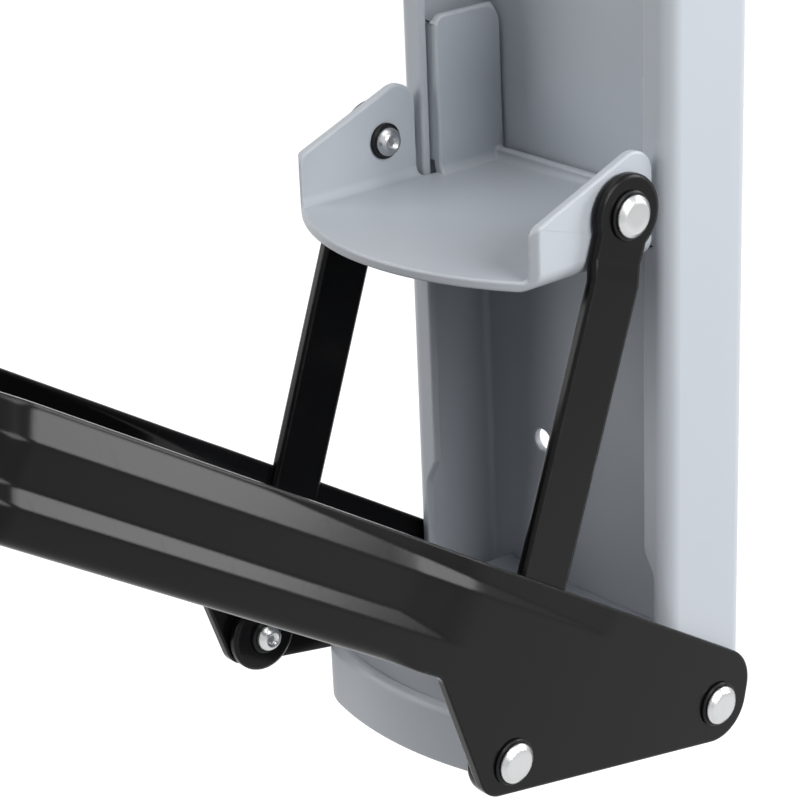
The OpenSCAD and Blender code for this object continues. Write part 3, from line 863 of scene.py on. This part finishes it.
    def trough_row(self, sheet: Sheet, v: float, side: Side) -> list[int]:
        """Adds the points below the ledges at v: lower wall, bend and half of the web.

        Args:
            sheet: The sheet under construction.
            v: Place along the handle.
            side: Side of the lever.

        Returns:
            The numbers of the points, from the wall to the middle of the web.
        """
        place, t, half = self.layout.on_lever, self.thickness, self.half(v)
        grown = ease((v - self.web_start) / self.bend_run)
        radius = self.bend_least + (self.bend_r - self.bend_least) * grown
        inner_r = max(radius - t, self.bend_least)
        low = self.height(v, self.depth)
        ledge = self.height(v, self.lower_line + self.crease_outside)
        row = [self.pair(sheet, v, half, (ledge + low + radius) / 2, side)]
        for k in range(self.bend_steps + 1):
            a = math.pi / 2 * k / self.bend_steps
            c, s = math.cos(a), math.sin(a)
            outer = (half - radius + radius * c, low + radius - radius * s)
            inner = (half - t - inner_r + inner_r * c, low + t + inner_r - inner_r * s)
            row.append(sheet.point(place(side.value * outer[0], v, outer[1]),
                                   place(side.value * inner[0], v, inner[1])))
        for share in self.web_shares:
            row.append(sheet.point(place(side.value * (half - radius) * share, v, low),
                                   place(side.value * (half - t - inner_r) * share, v, low + t)))
        return row

    def stations(self) -> list[float]:
        """Places the rows of points along the handle.

        Returns:
            The marks, even steps over the taper, and the end of the sheet.
        """
        run = self.taper_end - self.taper_start
        taper = [self.taper_start + run * k / self.taper_steps
                 for k in range(self.taper_steps + 1)]
        return [*self.marks, *taper, self.sheet_end]

    def plate_outline(self) -> list[Vector]:
        """Draws the fork plate from the throat back round the boss to the top edge.

        Returns:
            The points of the outline as (v, w).
        """
        rear, toe = self.boss_turn, Vector(self.toe)
        low = 2 * math.pi + math.atan2(toe.y, toe.x) - math.acos(self.boss_r / toe.length)
        mid = (rear + low) / 2
        boss = Vector((math.cos(mid), math.sin(mid))) * (self.boss_r / math.cos(mid - rear))
        heel = (self.boss_r - self.top * math.sin(rear)) / math.cos(rear)
        under = self.top - self.depth
        corners = [(self.web_start, self.top), (heel, self.top), boss, toe, (self.throat, under),
                   (self.web_start, under)]
        radii = [0, self.heel_r, self.boss_r, self.toe_r, self.throat_r, 0]
        return rounded(corners, radii, self.outline_step)[1:]

    def side_wall(self, sheet: Sheet, side: Side) -> None:
        """Adds one side of the lever to the sheet.

        Args:
            sheet: The sheet under construction.
            side: Side of the lever.
        """
        upper, lower = [], []
        stations = self.stations()
        for v in stations:
            upper.append([self.wall_point(sheet, v, d, side) for d in self.rows(v)])
            if v >= self.web_start:
                lower.append([upper[-1][-1]] + self.trough_row(sheet, v, side))
        for rows in (upper, lower):
            for first, second in zip(rows, rows[1:]):
                sheet.strip(first, second)
        half = self.half(0.0)
        outline = [self.pair(sheet, p.x, half, p.y, side) for p in self.plate_outline()]
        seam = [row[-1] for v, row in zip(stations, upper) if v <= self.web_start]
        face = outline + [lower[0][2], lower[0][1]] + seam[::-1] + upper[0][-2::-1]
        sheet.faces.append(tuple(reversed(face)))

    def build(self) -> None:
        """Builds the lever as one piece on the lever body."""
        sheet = Sheet()
        for side in Side:
            self.side_wall(sheet, side)
        piece = new_piece("lever_sheet", Paint.BLACK, "lever", sheet.mesh("lever_sheet"),
                          sharp=60.0)
        round_edges(piece, self.edge, segments=3, angle=62.0)
        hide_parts("fork_left", "fork_right", "handle_trough", "handle_tang")


# Turned pieces --------------------------------------------------------------------------------


def pair_tree() -> bpy.types.NodeTree:
    """Builds the geometry tree that sets one turned piece on each side of the crusher.

    Returns:
        The geometry node group, with the inputs Piece, Half width, Y, Z, Left, Right and Finish.
    """
    group = NodeGroup("mirrored_pair", "GeometryNodeTree")
    group.take("Geometry", "NodeSocketGeometry")
    piece = group.take("Piece", "NodeSocketObject")
    half = group.take("Half width", "NodeSocketFloat", 0.05)
    y = group.take("Y", "NodeSocketFloat", 0.0)
    z = group.take("Z", "NodeSocketFloat", 0.0)
    left = group.take("Left", "NodeSocketBool", True)
    right = group.take("Right", "NodeSocketBool", True)
    finish = group.take("Finish", "NodeSocketMaterial")
    shape = group.add("GeometryNodeObjectInfo", {"Object": piece}).outputs["Geometry"]
    join = group.add("GeometryNodeJoinGeometry")
    for side, wanted, spin in ((1.0, right, 0.0), (-1.0, left, math.pi)):
        x = group.math("MULTIPLY", half, side)
        place = group.add("ShaderNodeCombineXYZ", {0: x, 1: y, 2: z}).outputs[0]
        point = group.add("GeometryNodePoints", {"Count": 1, "Position": place})
        put = group.add("GeometryNodeInstanceOnPoints",
                        {"Points": point.outputs[0], "Selection": wanted, "Instance": shape,
                         "Rotation": (0.0, 0.0, spin)})
        group.tree.links.new(put.outputs[0], join.inputs[0])
    real = group.add("GeometryNodeRealizeInstances", {0: join.outputs[0]})
    painted = group.add("GeometryNodeSetMaterial", {"Geometry": real.outputs[0],
                                                    "Material": finish})
    group.give("Geometry", "NodeSocketGeometry", painted.outputs[0])
    return group.tree


@dataclass
class TurnedPair:
    """A turned piece repeated on the left and the right of the crusher.

    The profile's x = 0 stands at half from the middle plane, in metres, and x points outwards.
    """

    name: str
    profile: Sequence[tuple[float, float]]
    half: float
    centre: Vector
    paint: Paint
    body: str
    nodes: tuple[str, ...] = ()
    sides: tuple[Side, ...] = (Side.LEFT, Side.RIGHT)
    steps: int = 48

    def build(self) -> None:
        """Runs the pair tree and keeps its result as one plain mesh."""
        scene = bpy.context.scene
        master = bpy.data.objects.new(f"{self.name}_master",
                                      turned(self.name, self.profile, self.steps))
        scene.collection.objects.link(master)
        holder = bpy.data.objects.new(f"{self.name}_holder", bpy.data.meshes.new("holder"))
        scene.collection.objects.link(holder)
        tree = bpy.data.node_groups["mirrored_pair"]
        modifier = holder.modifiers.new("pair", "NODES")
        modifier.node_group = tree
        sockets = {s.name: s.identifier for s in tree.interface.items_tree
                   if s.item_type == "SOCKET" and s.in_out == "INPUT"}
        values = {"Piece": master, "Half width": self.half, "Y": self.centre.y,
                  "Z": self.centre.z, "Left": Side.LEFT in self.sides,
                  "Right": Side.RIGHT in self.sides, "Finish": self.paint.material}
        for key, value in values.items():
            modifier[sockets[key]] = value
        ready = holder.evaluated_get(bpy.context.evaluated_depsgraph_get())
        mesh = bpy.data.meshes.new_from_object(ready)
        holder.modifiers.remove(modifier)
        bpy.data.objects.remove(holder)
        bpy.data.objects.remove(master)
        piece = new_piece(self.name, self.paint, self.body, mesh, sharp=50.0)
        if self.nodes:
            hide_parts(*self.nodes)


@dataclass
class Pivots:
    """Pins, collars, cap nuts and dark painted-shade rings of the three pivots on each side, in
    millimetres.

    The pivot between link and lever is in two halves that don't touch: its head half fills the
    fork plate, and its nut half fills the link.
    """

    layout: Layout
    pin_r: float = 4.0
    head_r: float = 5.25
    head_h: float = 1.8
    bevel: float = 1.2
    collar_r: float = 6.1
    collar_t: float = 0.8
    gap: float = 0.05
    flange_r: float = 4.7
    nut_h: float = 3.6
    wall_t: float = 2.5
    ear_t: float = 2.5
    link_t: float = 3.0
    plate_t: float = 3.0
    eye_gap: float = 0.3
    plate_short: float = 0.1
    link_short: float = 0.05

    def head(self, shank: float) -> list[tuple[float, float]]:
        """Draws a bevelled head on its shank.

        Args:
            shank: Length of the shank behind the head.

        Returns:
            The profile as (x, radius).
        """
        r, h, b = self.head_r, self.head_h, self.bevel
        return [(-shank, 0), (-shank, self.pin_r), (0, self.pin_r), (0, r - 0.25), (0.08, r - 0.08),
                (0.25, r), (0.45 * h - 0.15, r), (0.45 * h, r - 0.05), (0.45 * h + 0.12, r - 0.18),
                (h - 0.3, r - b + 0.2), (h - 0.1, r - b), (h, r - b - 0.22), (h - 0.02, 2.0),
                (h - 0.03, 0)]

    def nut(self) -> list[tuple[float, float]]:
        """Draws a cap nut that stands on x = 0 and points inwards.

        Returns:
            The profile as (x, radius).
        """
        f, h = self.flange_r, self.nut_h
        return [(0, 0), (0, f - 1.0), (-1.15, f - 1.0), (-1.8, f - 1.0), (-2.2, f - 1.1),
                (-h + 0.7, f - 1.5), (-h + 0.15, f - 2.1), (-h, f - 2.4), (-h, 1.75),
                (-h + 0.2, 1.5), (-h + 0.75, 1.25), (-h + 0.85, 0)]

    def stub(self) -> list[tuple[float, float]]:
        """Draws the nut half of the pivot between link and lever, a nut on a stub.

        Returns:
            The profile as (x, radius).
        """
        r, end = self.pin_r, self.link_t - self.link_short
        return [(end, 0), (end, r - 0.15), (end - 0.1, r), (0.02, r), *self.nut()[1:]]

    def shade_ring(self) -> list[tuple[float, float]]:
        """Draws the dark ring round a cap nut's flange, a black piece that paints the shade there.

        Returns:
            The profile as (x, radius).
        """
        f = self.flange_r
        return [(0, 0), (0, f - 0.1), (-0.1, f), (-0.8, f), (-1.0, f - 0.2), (-1.0, f - 0.75),
                (-0.7, f - 0.95), (-0.7, 0)]

    def collar(self) -> list[tuple[float, float]]:
        """Draws the black collar under a head.

        Returns:
            The profile as (x, radius).
        """
        r, t = self.collar_r, self.collar_t
        return [(0, 0), (0, r - 0.15), (0.15, r), (t - 0.25, r), (t - 0.05, r - 0.18),
                (t, r - 0.4), (t, self.pin_r), (0.1, self.pin_r - 0.1), (0.1, 0)]

    def pins(self) -> None:
        """Builds the pins and the collars under their heads."""
        place = self.layout
        through_wall = (place.plate_out - place.wall_out) / MM + self.wall_t
        through_ear = self.link_t + self.eye_gap + self.ear_t
        pivots = (("main", "frame", place.main_pivot, place.plate_out, self.gap, through_wall),
                  ("ram", "ram", place.ram_pivot, place.eye_in + self.link_t * MM, self.gap,
                   through_ear),
                  ("lever", "lever", place.link_pivot, place.plate_out, 0.0,
                   self.plate_t - self.plate_short))
        for name, body, centre, face, gap, shank in pivots:
            foot = face + gap * MM
            head = self.head(shank + gap + self.collar_t)
            TurnedPair(f"{name}_pins", head, foot + self.collar_t * MM, centre, Paint.ZINC, body,
                       both(f"{name}_pin")).build()
            TurnedPair(f"{name}_collars", self.collar(), foot, centre, Paint.BLACK, body,
                       both(f"{name}_collar")).build()

    def nuts(self) -> None:
        """Builds the cap nuts behind the walls, the ears and the links, each with a dark ring that
        paints the shade round its flange.
        """
        place = self.layout
        wall_in = place.wall_out - self.wall_t * MM
        ear_in = place.eye_in - (self.eye_gap + self.ear_t) * MM
        link_in = place.wall_out - self.link_t * MM
        backs = (("main", "frame", wall_in, place.main_pivot),
                 ("ram", "ram", ear_in, place.ram_pivot))
        for name, body, face, centre in backs:
            TurnedPair(f"{name}_nuts", self.nut(), face, centre, Paint.ZINC, body,
                       both(f"{name}_nut")).build()
        # black rings round the nuts' flanges: painted shade
        for name, body, face, centre in backs:
            TurnedPair(f"{name}_washers", self.shade_ring(), face, centre, Paint.BLACK, body).build()
        for side in Side:
            word = side.name.lower()
            link, nut = f"{word}_link", f"lever_nut_{word}"
            TurnedPair(nut, self.stub(), link_in, place.link_pivot, Paint.ZINC, link, (nut,),
                       (side,)).build()
            # black ring round the lever nut's flange: painted shade
            TurnedPair(f"lever_washer_{word}", self.shade_ring(), link_in, place.link_pivot,
                       Paint.BLACK, link, (), (side,)).build()

    def build(self) -> None:
        """Builds all pivots, one piece for each kind and body."""
        self.pins()
        self.nuts()


@dataclass
class Grip:
    """The moulded hand grip with its ring grooves, in millimetres along the handle."""

    layout: Layout
    start: float = 289.0
    length: float = 104.0
    radius: float = 17.0
    waist: float = 1.5
    groove: float = 2.1
    rings: int = 12
    first_ring: float = 14.0
    plain_end: float = 22.0
    steps: int = 64

    def profile(self) -> list[tuple[float, float]]:
        """Draws the grip from its open end to its closed end.

        Returns:
            The profile as (x, radius).
        """
        r, end = self.radius, self.length
        waist, groove = r - self.waist, r - self.groove
        pitch = (end - self.first_ring - self.plain_end) / self.rings
        points = [(0, 0), (0, r - 4.2), (0.6, r - 2.0), (2.4, r - 0.3), (4.0, r), (7.6, r),
                  (9.4, r - 0.5), (11.0, waist)]
        for k in range(self.rings):
            x = self.first_ring + k * pitch
            points += [(x, waist), (x + 0.5, groove), (x + 1.5, groove), (x + 2.0, waist)]
        return points + [(end - 20, waist), (end - 16, r - 0.6), (end - 13, r), (end - 7, r),
                         (end - 3.2, r - 1.4), (end - 0.9, r - 4.4), (end, r - 8.0), (end, 0)]

    def build(self) -> None:
        """Builds the grip as one piece on the lever body."""
        mesh = turned("hand_grip", self.profile(), self.steps)
        foot = self.layout.on_lever(0.0, self.start, 0.0)
        ahead = self.layout.on_lever(0.0, self.start + 1.0, 0.0) - foot
        spin = Vector((1, 0, 0)).rotation_difference(ahead).to_matrix().to_4x4()
        mesh.transform(Matrix.Translation(foot) @ spin)
        piece = new_piece("hand_grip", Paint.RUBBER, "lever", mesh, sharp=55.0)
        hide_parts("grip")


# Pressed pieces -------------------------------------------------------------------------------


@dataclass
class GuideTabs:
    """Finer form of the ram's guide tabs: long lugs behind the lips and crisp rear corners.

    Lengths are in millimetres, in the row frame.
    """

    lug_low: float = 27.0
    lug_foot: float = 6.6
    lug_start: float = 39.0
    old_r: float = 6.0
    new_r: float = 2.0
    back: float = -3.5
    top: float = 45.0
    match: float = 0.05

    def shaped(self, place: Vector) -> Vector:
        """Moves a point of the ram to its finer place.

        Args:
            place: The point, in metres.

        Returns:
            Its new place, in metres.
        """
        x, y, z = place / MM
        if abs(x) < self.lug_start:
            return place
        if abs(z - self.lug_low) < self.match and y < self.back - self.old_r:
            return Vector((x, y, self.lug_foot)) * MM
        from_back, from_top = self.back - y, self.top - z
        if from_back < self.old_r and from_top < self.old_r:
            share = self.new_r / self.old_r
            return Vector((x, self.back - from_back * share, self.top - from_top * share)) * MM
        return place


@dataclass
class Pressings:
    """The grey pressed pieces, the black links and the shelf's rivets, with rounded edges."""

    sheet_edge: float = 0.4
    link_edge: float = 0.8
    rivet_edge: float = 0.2

    def build(self) -> None:
        """Replaces the channel, the shelf, the ram, the links and the rivets by finished copies."""
        sheet, link = (Paint.GREY, self.sheet_edge), (Paint.BLACK, self.link_edge)
        tabs = GuideTabs()
        for node, body, (paint, edge), reshape in (
                ("frame_channel", "frame", sheet, None), ("base_shelf", "frame", sheet, None),
                ("ram_plate", "ram", sheet, tabs.shaped), ("link_left", "left_link", link, None),
                ("link_right", "right_link", link, None)):
            refined(node, f"{node}_sheet", paint, body, edge, reshape)
        refined("shelf_rivets", "shelf_rivet_heads", Paint.ZINC, "frame", self.rivet_edge)


def main() -> None:
    """Builds and dresses the crusher."""
    logging.basicConfig(level=logging.INFO, format="%(name)s: %(message)s")
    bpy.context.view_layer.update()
    layout = Layout.from_frame(frame)
    edge_wear_and_highlight_group()
    coat_texture_group()
    pair_tree()
    Studio().build()
    Pressings().build()
    Lever(layout).build()
    Pivots(layout).build()
    Grip(layout).build()


if __name__ == "__main__":
    main()
